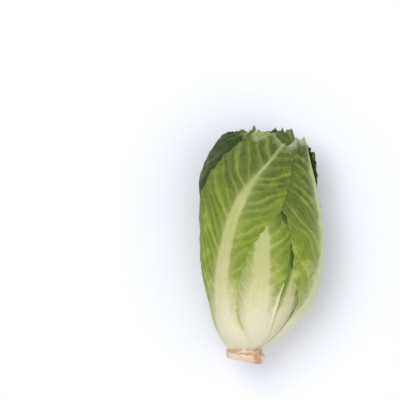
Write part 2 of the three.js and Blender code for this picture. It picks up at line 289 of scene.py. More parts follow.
@dataclass(frozen=True)
class LeafShape:
    """One leaf's outline and place on the body.

    Wings are half widths in degrees at equal steps from foot to top: low on the side of
    smaller turns and high on the other. Top is how far up the blade runs, from the low edge
    to the high one. Lift is how far its upper half stands out where it's bare, and gape how
    far the leaf below keeps from its high edge. Grid is its steps along and across.
    """

    name: str
    turn: float
    foot: float
    reach: float
    kind: Kind
    phase: float
    grid: tuple[int, int] = (80, 60)
    course: Knots = (0, 0)
    low: Knots = FULL_WING
    high: Knots = FULL_WING
    top: Knots = FULL_TOP
    lift: Knots = (0, 0, 0, 1, 2.5)
    ruffle: float = 1.6
    waves: float = 6.0
    pleat: float = 0.6
    ragged: float = 0.03
    rib_wide: float = 1.0
    rib_fade: float = 1.0
    gape: Knots = (0, 0)
    pale_low: Knots = (0.03, 0.03)
    pale_high: float = 0.03
    pale_top: float = 0.06
    pale_down: float = 3.0

    def midline(self, v: Floats) -> Floats:
        """The turn of the midrib at v."""
        return self.turn + through(self.course, v)

    def wing(self, side: Floats, v: Floats) -> Floats:
        """The half width at v, on the low side where side is negative."""
        return np.where(side < 0, through(self.low, v), through(self.high, v))

    def crest(self, u: Floats) -> Floats:
        """How far up the blade runs at u."""
        return through(self.top, 0.5 * (u + 1.0))

    def locate(self, turn: Floats, station: Floats) -> Spot:
        """Places on the body in the leaf's own coordinates.

        Args:
            turn: Angles round the axis.
            station: Angles along it.

        Returns:
            Degrees off the midrib, the half width there and the share of the length.
        """
        v = (station - self.foot) / (self.reach - self.foot)
        off = np.mod(turn - self.midline(v) + 180.0, 360.0) - 180.0
        return off, self.wing(off, v), v

    def lifted(self, v: Floats) -> Floats:
        """How far the leaf stands out at v."""
        return through(self.lift, 2.0 * v - 1.0)


@dataclass(frozen=True)
class Midrib:
    """The thick rib down the middle of a leaf."""

    foot: float = 3.6
    tip: float = 0.3
    half_foot: float = 9.4
    half_tip: float = 0.8
    narrowing: float = 1.15
    thinning: float = 1.6
    dome_wide: float = 1.25
    dome_power: float = 1.5
    ends_over: tuple[float, float] = (0.65, 0.95)
    rise: float = 0.45
    rise_over: tuple[float, float] = (-0.05, 0.3)
    rise_ends_over: tuple[float, float] = (0.55, 1.0)

    def half_width(self, v: Floats) -> Floats:
        """Half the rib's width at v."""
        left = 1.0 - np.clip(v, 0.0, 1.0)
        return self.half_tip + (self.half_foot - self.half_tip) * left**self.narrowing

    def added(self, across: Floats, u: Floats, v: Floats, ends_over: Knots) -> Floats:
        """What the rib adds to the blade's thickness.

        Args:
            across: Distance from the midrib.
            u: Share of the half width.
            v: Share of the length.
            ends_over: Where in the half width it fades out.

        Returns:
            The thickness.
        """
        left = 1.0 - np.clip(v, 0.0, 1.0)
        thickness = self.tip + (self.foot - self.tip) * left**self.thinning
        dome = 1.0 - (across / (self.dome_wide * self.half_width(v))) ** 2
        ending = 1.0 - smoothstep(np.abs(u), *ends_over)
        return thickness * np.maximum(0.0, dome) ** self.dome_power * ending


@dataclass(frozen=True)
class Veins:
    """The side veins: they leave the midrib on both sides, curve to the tip and fork."""

    spacing: float = 9.6
    slope: float = 0.85
    curve: float = 0.009
    stagger: float = 0.23
    wander: float = 2.4
    uneven: float = 1.5
    fork_from: float = 9.0
    fork_over: float = 22.0
    width: float = 0.9

    def away(self, maths: Any, across: Any, along: Any, seed: Any) -> tuple[Any, Any, Any]:
        """Distances to the nearest side vein and to the nearest fork, and how bold it is.

        Args:
            maths: Numbers for arrays, or a Board for sockets.
            across: Signed distance from the midrib.
            along: Distance along the midrib.
            seed: Shifts the veins' wander from leaf to leaf.

        Returns:
            The two distances, and the vein's boldness from 0 to 1.
        """
        a, side = abs(across), maths.sign(across)
        slow = maths.sine(along * 0.045 + seed + side * 0.9) * self.wander
        bend = maths.sine(a * 0.16 + along * 0.05 + seed * 2.0 + side * 2.0) * (0.5 * self.wander)
        small = maths.sine(a * 0.43 - along * 0.21 + seed * 3.1) * (0.14 * self.wander)
        beat = maths.sine(along * (2.4 / self.spacing) + seed * 1.3 + side) * self.uneven
        place = along - a * (a * self.curve + self.slope) + slow + bend + small + beat
        phase = place / self.spacing + side * self.stagger + seed * 0.37
        cell = maths.floor(phase)
        inside = phase - cell
        chance = maths.sine(cell * 2.39 + side * 1.3 + seed)
        nearest = maths.floor(phase + 0.5)
        bold = maths.sine(nearest * 2.1 + seed * 1.7 + side) * 0.4 + 0.6
        scale = self.spacing / math.hypot(1.0, self.slope + 0.2)
        start = chance * (0.5 * self.fork_from) + self.fork_from
        spread = maths.rise(a, start, start + self.fork_over) * 0.5
        main, fork = maths.smaller(inside, 1.0 - inside), abs(inside - spread)
        return main * scale, fork * scale, bold


@dataclass(frozen=True)
class Stack:
    """All leaves, outermost first, and how they lie over each other.

    The two degrees are about how many millimetres one spans, round the head and along it.
    """

    body: HeadBody
    leaves: tuple[LeafShape, ...]
    wrappers: int
    turn_degree: float = 0.6
    station_degree: float = 1.2
    blade: float = 1.0
    edge_blade: float = 0.35
    edge_gap: float = 0.1
    curl: float = 0.9
    gap: float = 1.3
    inner_gap: float = 2.0
    heart_slack: float = 0.6
    crown_sink: float = 5.0
    crown_sink_over: tuple[float, float] = (110.0, 160.0)
    inner_from: int = 7
    foot_step: float = 0.25
    foot_step_over: tuple[float, float] = (20.0, 80.0)
    edge_soft: float = 4.5
    gape_sink: float = 0.55
    shade_over: float = 9.0
    # Where a gaping edge gets painted crevice shade: how open, how far in and how soft.
    pit_over: tuple[float, float] = (0.3, 0.8)
    pit_inside: float = 0.5
    pit_soft: float = 0.8
    edge_inside: float = 12.0
    top_soft: float = 32.0
    rib: Midrib = Midrib()
    veins: Veins = Veins()

    def cover(self, leaf: LeafShape, spot: Spot, start: Any, soft: float) -> Floats:
        """1 on a leaf as far as start beyond its edge, falling to 0 further out.

        Args:
            leaf: The leaf.
            spot: Places in its own coordinates.
            start: How far beyond its edge the fall starts.
            soft: How far the fall takes at its sides.

        Returns:
            The share.
        """
        off, wing, v = spot
        beside = (np.abs(off) - wing) * self.turn_degree
        above = (v - leaf.crest(off / wing)) * (leaf.reach - leaf.foot) * self.station_degree
        side = 1.0 - smoothstep(beside - start, 0.0, soft)
        over = max(soft, self.top_soft) if soft < self.edge_inside else soft
        return side * (1.0 - smoothstep(above - start, 0.0, over))

    def layer(self, k: int, turn: Floats, station: Floats) -> tuple[Floats, Floats, Floats]:
        """How deep leaf k lies, how bare it is and how near to an edge over it.

        Args:
            k: The leaf's place in the stack.
            turn: Angles round the axis.
            station: Angles along it.

        Returns:
            The depths, 1 where nothing lies over the leaf down to 0 where it does, and 1
            at the edges over it down to 0 well away from them, or 2 in an open crevice.
        """
        depth = np.zeros_like(turn + station)
        low_down = self.foot_step * (1.0 - smoothstep(station, *self.foot_step_over))
        sunk = max(k - self.inner_from + 1, 0) / (self.wrappers - self.inner_from + 2)
        if k >= self.wrappers:
            depth = depth + self.heart_slack
            sunk = 1.0
        depth = depth + self.crown_sink * sunk * smoothstep(station, *self.crown_sink_over)
        bare = np.ones_like(depth)
        shade = np.zeros_like(bare)
        half, _ = self.body.radius(np.radians(station))
        for j, leaf in enumerate(self.leaves[:k]):
            off, wing, v = spot = leaf.locate(turn, station)
            gape = np.where(off < 0, 0.0, through(leaf.gape, v))
            covered = self.cover(leaf, spot, gape, self.edge_soft)
            inside = self.cover(leaf, spot, -self.edge_inside, self.edge_inside)
            rib = self.rib.added(np.radians(off) * half, off / wing, v, self.rib.ends_over)
            gap = self.inner_gap if self.inner_from <= j < self.wrappers else self.gap
            rest = self.blade + gap - self.edge_blade - self.edge_gap + low_down
            edge = self.edge_blade + self.edge_gap + self.gape_sink * gape
            depth = depth + covered * (edge + rib) + inside * rest
            bare = bare * (1.0 - covered)
            # Painted shade in the open crevice beside a gaping edge, added to the edge shade.
            opened = smoothstep(gape, *self.pit_over)
            pit_shade = opened * self.cover(leaf, spot, gape - self.pit_inside, self.pit_soft)
            # Painted shade: 1 at the edge of a leaf over this one, fading out over shade_over
            # millimetres.
            near = self.cover(leaf, spot, gape, self.shade_over)
            shade = np.maximum(shade, near + pit_shade)
        return depth, bare, shade

    def ruffle(self, leaf: LeafShape, u: Floats, v: Floats, across: Floats) -> Floats:
        """Waves and pleats along a leaf's free margin, standing outwards.

        Args:
            leaf: The leaf.
            u: Share of the half width.
            v: Share of the length.
            across: Distance from the midrib.

        Returns:
            How far out each point stands.
        """
        high = np.clip(v / leaf.crest(u), 0.0, 1.0)
        edge = 1.0 - (1.0 - np.abs(u) ** 6) * (1.0 - high**9)
        turns = leaf.waves * (0.5 * u + 0.45 * np.abs(v)) + 0.12 * grain(5 * u, 9 * v, 3)
        wave = np.sin(2 * math.pi * turns + leaf.phase)
        fine = np.sin(2 * math.pi * 2.6 * turns + 1.7 + 2.0 * leaf.phase)
        slow = (0.5 + 0.5 * wave) + 0.22 * (fine + 1.0)
        waved = leaf.ruffle * edge * smoothstep(v, 0.4, 1.0) * slow
        folds = np.sin(across * 1.4 + 2.2 * grain(across / 9, 7 * v, 11) + leaf.phase)
        wide = smoothstep(high, 0.72, 1.0)
        return waved + leaf.pleat * wide * (0.5 + 0.5 * folds)

    def points(self, k: int, coarser: int) -> tuple[Floats, Floats, Marks]:
        """Both faces of leaf k on a grid.

        Args:
            k: The leaf's place in the stack.
            coarser: What its steps are divided by.

        Returns:
            The points of its outer and inner face, and its marks at each point.
        """
        leaf = self.leaves[k]
        rows, columns = (steps // coarser + 1 for steps in leaf.grid)
        t, u = np.meshgrid(np.linspace(0, 1, rows), np.linspace(-1, 1, columns), indexing="ij")
        nicked = 1.0 - 0.012 * (1.0 + grain(u * 11, t * 0 + leaf.phase, 5)) * t**4
        v = t * leaf.crest(u) * nicked
        station = leaf.foot + v * (leaf.reach - leaf.foot)
        sign = np.sign(u)
        teeth = grain(v * 17, sign + leaf.phase, 7) + 0.6 * grain(v * 41, sign - leaf.phase, 8)
        teeth = teeth + 0.4 * grain(v * 87, sign + 2 * leaf.phase, 12)
        worn = 1.0 - leaf.ragged * (1.0 + teeth) * np.abs(u) ** 3 * smoothstep(v, 0.15, 0.4)
        off = u * leaf.wing(u, v) * worn
        turn = leaf.midline(v) + off
        half, _ = self.body.radius(np.radians(station))
        flat = np.radians(off) * half
        lean = self.lean(leaf, v)
        across = flat * np.cos(lean)
        along = self.body.path(station) / np.cos(0.6 * lean) + flat * np.sin(lean)

        depth, bare, shade = self.layer(k, turn, station)
        margin = np.clip(np.maximum(np.abs(u) ** 8, t**14), 0.0, 1.0)
        rib = self.rib.added(flat, u, v, self.rib.ends_over)
        pale = np.where(u < 0, through(leaf.pale_low, v), leaf.pale_high)
        curled = self.curl * np.maximum(pale - 0.3, 0.0) * np.abs(u) ** 16
        free = bare * (leaf.lifted(v) + self.ruffle(leaf, u, v, across) + curled)
        hug = 0.25 * margin * (1.0 - smoothstep(free, 0.2, 1.5))
        relief = self.relief(leaf, across, along, u, v)
        proud = self.rib.added(flat / leaf.rib_wide, u, v, self.rib.rise_ends_over)
        rise = self.rib.rise * smoothstep(v, *self.rib.rise_over) * proud * bare
        outer = depth - free - rise + hug - relief * (0.35 + 0.65 * bare)
        thick = self.blade + (self.edge_blade - self.blade) * margin + rib - 0.2
        edge = (1.0 - np.abs(u)) * np.radians(leaf.wing(u, v)) * half
        # The pale rim of margin and tip: partly the leaf's own pale edge, partly a painted
        # highlight where the edge catches light.
        below = (1.0 - t) * (leaf.reach - leaf.foot) * self.station_degree
        rim = np.maximum(
            pale * (1.0 - smoothstep(edge, 0.5 + pale, 1.3 + 2.4 * pale)),
            leaf.pale_top * (1.0 - smoothstep(below, 0.4, leaf.pale_down)),
        )
        ribbed = np.abs(flat) / (self.rib.half_width(v) * leaf.rib_wide)
        held = (across, along, np.full(v.shape, leaf.phase), v, u, ribbed, rim, v * leaf.rib_fade)
        faces = (self.body.place(turn, station, deep) for deep in (outer, outer + thick))
        return *faces, dict(zip(MARKS, (*held, shade)))

    def lean(self, leaf: LeafShape, v: Floats) -> Floats:
        """The angle in radians between a leaf's midrib and the head's own length."""
        step = 0.01
        rise = np.radians(leaf.midline(v + step) - leaf.midline(v - step))
        station = leaf.foot + v * (leaf.reach - leaf.foot)
        half, _ = self.body.radius(np.radians(station))
        swept = 2 * step * (leaf.reach - leaf.foot)
        run = self.body.path(station + 0.5 * swept) - self.body.path(station - 0.5 * swept)
        return np.arctan2(rise * half, run)

    def relief(
        self, leaf: LeafShape, across: Floats, along: Floats, u: Floats, v: Floats
    ) -> Floats:
        """Raised veins, the pockets between them and the blade's unevenness.

        Args:
            leaf: The leaf.
            across: Signed distance from the midrib.
            along: Distance along the midrib.
            u: Share of the half width.
            v: Share of the length.

        Returns:
            How far out each point stands.
        """
        seed = int(10 * leaf.phase) + 1
        main, fork, bold = self.veins.away(Numbers, across, along, leaf.phase)
        off_rib = np.abs(across) / (self.rib.half_width(v) * leaf.rib_wide)
        beside = smoothstep(off_rib, 0.9, 1.6)
        blade = beside * smoothstep(v, 0.1, 0.42)
        fading = 1.0 - 0.55 * smoothstep(np.abs(u), 0.45, 1.0)
        ridge = 1.7 * self.veins.width
        vein = bold * np.exp(-((main / ridge) ** 2)) + 0.5 * np.exp(-((fork / ridge) ** 2))
        between = np.minimum(main, fork) / self.veins.spacing
        pocket = np.sin(math.pi * np.clip(between * 3.4, 0.0, 1.0))
        blister = grain(across / 5.5, along / 4.5, seed + 2)
        blister = blister + 0.5 * grain(across / 2.6, along / 2.4, seed + 5)
        lumps = grain(across / 11.0, along / 9.0, seed)
        lumps = lumps + 0.6 * grain(across / 4.6, along / 4.2, seed + 9)
        crinkle = smoothstep(v, 0.35, 0.9) * (0.45 + 0.55 * np.abs(u))
        grooves = np.sin(across * 2.6 + 0.6 * grain(across / 3, along / 30, seed + 4))
        ribbed = (1.0 - smoothstep(off_rib, 0.7, 1.3)) * 0.07
        bumps = (0.25 + 0.75 * crinkle) * lumps + (0.4 + 0.45 * crinkle) * pocket * blister
        return blade * (0.5 * vein * fading - 0.2 + bumps) + ribbed * grooves


# The side leaf's high edge has a small notch, and the leaf below keeps off it in three places.
SIDE_EDGE: Knots = (
    *(34.1, 31.8, 29.4, 28.7, 29.1, 29.9, 32.5, 39.9, 47, 49.6, 48.7),
    *(51.8, 53.3, 54.1, 55.3, 57.7, 60, 61.5, 61.5, 57.8, 54),
)
SIDE_GAPE: Knots = (0, 0, 0, 0.3, 0.5, 0.6, 0.4, 0, 0.1, 0.6, 1.1, 0, 0.3, 1.3, 0.3) + (0,) * 6
# Each has its name, turn, foot, reach, kind, phase and grid, then what sets it apart.
LEAVES: tuple[LeafShape, ...] = (
    LeafShape(
        "leaf_01_front_left", 139.8, 19, 160, Kind.OUTER, 0.4, (210, 170),
        course=(-30, -12, -1, 0, -5, -13, -25, -40.6, -62.8, -87.8, -111.8),
        low=(30.5, 27.4, 23.9, 23.5, 24.8, 31, 43, 44.9, 31, 10, 8),
        high=(69.2, 53.8, 50.5, 51.5, 52.9, 56.4, 59.6, 60.9, 60.5, 69.1, 73.1),
        top=(0.86, 0.87, 0.88, 0.885, 0.89, 0.9, 0.92, 0.945, 0.93, 0.955, 1.03), ruffle=1.2,
        waves=4, pleat=0.5, ragged=0.05, rib_fade=1.1, pale_top=0.26, pale_down=6.0,
        pale_low=(0, 0, 0, 0, 0, 0, 0.03, 0.03),
    ),
    LeafShape(
        "leaf_02_right_back", 305, 19, 158, Kind.DARK, 1.9, (150, 120),
        course=(0, 0.5, 2, 4.5, 8), low=(46, 46, 56, 62, 58, 46), high=(31, 40, 55, 51, 60, 56),
        top=(0.9, 0.97, 1, 0.98, 0.93, 0.88, 0.84), lift=(0, 0, 0, 2.4, 2.5), ruffle=2.2,
        waves=7, pleat=1.0,
    ),
    LeafShape(
        "leaf_03_right", 13, 19, 148, Kind.SIDE, 3.1, (200, 160), course=(0, 0.4, 1.5, 3.4, 6),
        low=(41, 41, 55, 61, 55, 41), high=SIDE_EDGE,
        top=(0.9, 0.96, 0.99, 1, 0.99, 0.97, 0.95), lift=(0, 0, 0, 1.5, 5), waves=4,
        ragged=0.045, rib_wide=1.6, rib_fade=0.9, gape=SIDE_GAPE, pale_top=0.42, pale_down=9.0,
    ),
    LeafShape(
        "leaf_04_left_back", 208, 19, 160, Kind.DARK, 0.9, (150, 120),
        course=(0, -0.8, -3, -6.8, -12), low=(46, 44, 58, 70, 80, 84),
        high=(46, 46, 58, 66, 60, 46), top=(0.97, 1, 0.98, 0.95, 0.93, 0.9, 0.84),
        lift=(0, -0.3, 1.8, 0, -0.5), ruffle=0.7,
    ),
    LeafShape("leaf_05_under", 258, 20, 156, Kind.OUTER, 2.2, (130, 110), ruffle=2.2, waves=5),
    LeafShape(
        "leaf_06_centre", 79.8, 17, 152, Kind.INNER, 1.3, (170, 110),
        course=(0, 5.7, 12.7, 14.4, 12.9, 12.2, 10.8, 7.9, 4.6, 0.7, -2.3),
        low=(28.8, 25.3, 22.5, 23.1, 25.9, 28.5, 31, 35.1, 37.5, 33.1, 27.7),
        high=(51.2, 38.6, 26.5, 30.4, 40.1, 45.7, 50.4, 54.5, 56.5, 54.3, 51.5), ruffle=1.2,
        waves=5, rib_fade=1.15, pale_low=(0, 0.1, 0.7, 0.8, 0.1, 0, 0, 0, 0, 0, 0),
    ),
    LeafShape(
        "leaf_07_centre_right", 56, 18, 160, Kind.CREST, 2.9, (170, 110),
        course=(0, 2.4, 4.3, 4.3, 1.7, -2.4, -7.2, -12.1, -21, -27.5, -33),
        low=(42, 39.8, 37.8, 40.1, 42.3, 44.8, 47.5, 48.6, 50, 52, 52),
        high=(32, 25.2, 18.4, 18.1, 21.1, 26.1, 32, 37.9, 48, 52, 54),
        top=(0.92, 0.97, 1, 1, 1, 0.99, 0.97), rib_wide=0.6, rib_fade=1.6, lift=(0, 0, 1, 4, 8),
        waves=5, pleat=1.8,
    ),
    LeafShape("leaf_08_left", 176, 24, 162, Kind.INNER, 0.2),
    LeafShape("leaf_09_right_low", 328, 25, 163, Kind.INNER, 4.0),
    LeafShape("leaf_10_inner_under", 232, 26, 164, Kind.INNER, 5.0),
    LeafShape("leaf_11_inner_front", 118, 27, 165, Kind.INNER, 2.0),
    LeafShape("leaf_12_inner_right", 8, 28, 166, Kind.INNER, 1.0),
)
# Half widths in degrees of the heart's leaf tips, from foot to top.
TIP_WING: Knots = (70, 72, 70, 64, 60, 56)
TIPS: tuple[LeafShape, ...] = tuple(
    LeafShape(
        f"tip_{i + 1}", turn, 106, 168 + 2.4 * i, Kind.HEART, 1.7 * i, (64, 60), low=TIP_WING,
        high=TIP_WING, lift=(0, 0, 0, 0.5, 1),
    )
    for i, turn in enumerate((260, 150, 30, 305, 80))
)


# ------------------------ shader maths

Value = Union[float, "Socket"]
Settings = dict[str, Any]
Ramp = tuple[tuple[float, Colour], ...]


@dataclass(frozen=True)
class Socket:
    """A node's output, which can be used in expressions that add Math nodes."""

    board: "Board"
    out: Any

    def _math(self, operation: str, *others: Value) -> "Socket":
        """A Math node on this socket and others."""
        return self.board.math(operation, self, *others)

    def _turned(self, operation: str, other: Value) -> "Socket":
        """A Math node on another value and this socket."""
        return self.board.math(operation, other, self)

    __add__ = __radd__ = partialmethod(_math, "ADD")
    __sub__ = partialmethod(_math, "SUBTRACT")
    __rsub__ = partialmethod(_turned, "SUBTRACT")
    __mul__ = __rmul__ = partialmethod(_math, "MULTIPLY")
    __truediv__ = partialmethod(_math, "DIVIDE")
    __rtruediv__ = partialmethod(_turned, "DIVIDE")
    __pow__ = partialmethod(_math, "POWER")
    __abs__ = partialmethod(_math, "ABSOLUTE")


class Board:
    """One material's node tree."""

    def __init__(self, name: str) -> None:
        """Start an empty tree.

        Args:
            name: The material's name.
        """
        self.material = bpy.data.materials.new(name)
        self.material.use_nodes = True
        self.tree = self.material.node_tree
        self.tree.nodes.clear()

    def node(
        self, kind: str, settings: Settings | None = None, output: int | str = 0, **inputs: Any
    ) -> Socket:
        """Add a node.

        Args:
            kind: The node's type.
            settings: Its properties, set first.
            output: Which of its outputs to give.
            inputs: Values or sockets by input name, with _ for a space; "at_N" is by place.

        Returns:
            The output.
        """
        made = self.tree.nodes.new(kind)
        for key, setting in (settings or {}).items():
            setattr(made, key, setting)
        for key, value in inputs.items():
            slot = made.inputs[int(key[3:]) if key.startswith("at_") else key.replace("_", " ")]
            if isinstance(value, Socket):
                self.tree.links.new(value.out, slot)
            elif slot.type == "RGBA" and len(value) == 3:
                slot.default_value = (*value, 1.0)
            else:
                slot.default_value = value
        return Socket(self, made.outputs[output])

    def math(self, operation: str, *values: Value, clamp: bool = False) -> Socket:
        """A Math node.

        Args:
            operation: Its operation.
            values: Numbers or sockets.
            clamp: Keep the result between 0 and 1.

        Returns:
            Its result.
        """
        inputs = {f"at_{i}": value for i, value in enumerate(values)}
        settings = {"operation": operation, "use_clamp": clamp}
        return self.node("ShaderNodeMath", settings, **inputs)

    sine = partialmethod(math, "SINE")
    floor = partialmethod(math, "FLOOR")
    sign = partialmethod(math, "SIGN")
    smaller = partialmethod(math, "MINIMUM")
    larger = partialmethod(math, "MAXIMUM")

    def rise(self, value: Value, low: Value, high: Value) -> Socket:
        """A smooth rise from 0 at low to 1 at high; low may be the larger."""
        settings = {"interpolation_type": "SMOOTHSTEP"}
        return self.node("ShaderNodeMapRange", settings, Value=value, From_Min=low, From_Max=high)

    def read(self, *names: str) -> list[Socket]:
        """Numbers that the mesh holds at each point."""
        kind = "ShaderNodeAttribute"
        return [self.node(kind, {"attribute_name": name}, "Fac") for name in names]

    def spot(self, x: Value, y: Value, z: Value) -> Socket:
        """A vector from three numbers."""
        return self.node("ShaderNodeCombineXYZ", X=x, Y=y, Z=z)

    def noise(self, place: Socket, scale: float, detail: float = 3.0) -> Socket:
        """Soft random values, mostly from 0.3 to 0.7."""
        inputs = {"Vector": place, "Scale": scale, "Detail": detail}
        return self.node("ShaderNodeTexNoise", output="Fac", **inputs)

    def cells(self, place: Socket, scale: float) -> Socket:
        """Distance to the nearest wall in a net of uneven cells."""
        settings = {"feature": "DISTANCE_TO_EDGE"}
        return self.node("ShaderNodeTexVoronoi", settings, "Distance", Vector=place, Scale=scale)

    def ramp(self, value: Socket, stops: Ramp) -> Socket:
        """Run through colours.

        Args:
            value: Where to read them.
            stops: Places from 0 to 1, with their colours.

        Returns:
            The colour at the value.
        """
        made = self.node("ShaderNodeValToRGB", Fac=value)
        elements = made.out.node.color_ramp.elements
        while len(elements) < len(stops):
            elements.new(0.5)
        for element, (place, colour) in zip(elements, stops):
            element.position = place
            element.color = (*colour, 1.0)
        return made

    def blend(self, share: Value, first: Socket | Colour, second: Socket | Colour) -> Socket:
        """Mix two colours.

        Args:
            share: How much of the second.
            first: The colour at 0.
            second: The colour at 1.

        Returns:
            The mixed colour.
        """
        settings = {"data_type": "RGBA", "clamp_factor": True}
        return self.node("ShaderNodeMix", settings, 2, at_0=share, at_6=first, at_7=second)

    def bump(self, height: Socket, depth: float, strength: float) -> Socket:
        """A normal from a height, with the depth in metres that a height of 1 stands for."""
        return self.node("ShaderNodeBump", Height=height, Distance=depth, Strength=strength)

    def finish(self, **inputs: Any) -> bpy.types.Material:
        """Join the surface shader and its output.

        Args:
            inputs: The shader's values or sockets, with _ for a space.

        Returns:
            The finished material.
        """
        shader = self.node("ShaderNodeBsdfPrincipled", **inputs)
        output = self.tree.nodes.new("ShaderNodeOutputMaterial")
        self.tree.links.new(shader.out, output.inputs[0])
        return self.material


# ------------------------ finishes


# Metres, and what the finishes of the head have in common.
BUMP_DEPTH = 0.0008
FLESH = {"Subsurface_Weight": 0.1, "Subsurface_Scale": 0.002}


def stops(*rows: tuple[float, int, int, int]) -> Ramp:
    """A ramp from rows of a place from 0 to 1 and a colour on a screen."""
    return tuple((place, from_screen(*colour)) for place, *colour in rows)


GREENS = stops(
    (0.2, 172, 178, 88), (0.38, 124, 142, 16), (0.58, 103, 123, 10), (0.76, 76, 94, 20),
    (1.0, 66, 84, 26),
)
SIDE_GREENS = stops(
    (0.2, 184, 188, 108), (0.38, 136, 151, 46), (0.58, 104, 122, 22), (0.76, 69, 85, 20),
    (1.0, 50, 67, 20),
)
CREST_GREENS = stops(
    (0.2, 172, 178, 88), (0.38, 126, 144, 32), (0.58, 98, 120, 16), (0.78, 62, 83, 6),
    (1.0, 42, 60, 2),
)
RIBS = stops(
    (0.12, 223, 219, 190), (0.24, 212, 208, 167), (0.37, 201, 199, 146), (0.5, 184, 185, 122),
    (0.68, 167, 173, 104), (1.0, 138, 152, 76),
)
# Greener ribs for the side leaf, also lightened as painted light because that side of the head
# lies in shade.
LIT_GREEN_RIBS = stops(
    (0.12, 222, 219, 190), (0.28, 202, 204, 157), (0.5, 194, 200, 144), (0.7, 184, 192, 132),
    (1.0, 138, 152, 84),
)
DARK_GREENS = stops(
    (0.2, 150, 162, 86), (0.45, 92, 114, 42), (0.75, 52, 73, 20), (1.0, 38, 57, 12),
)
HEART_GREENS = stops(
    (0.3, 214, 216, 150), (0.7, 190, 200, 108), (0.88, 158, 174, 76), (1.0, 116, 138, 46),
)


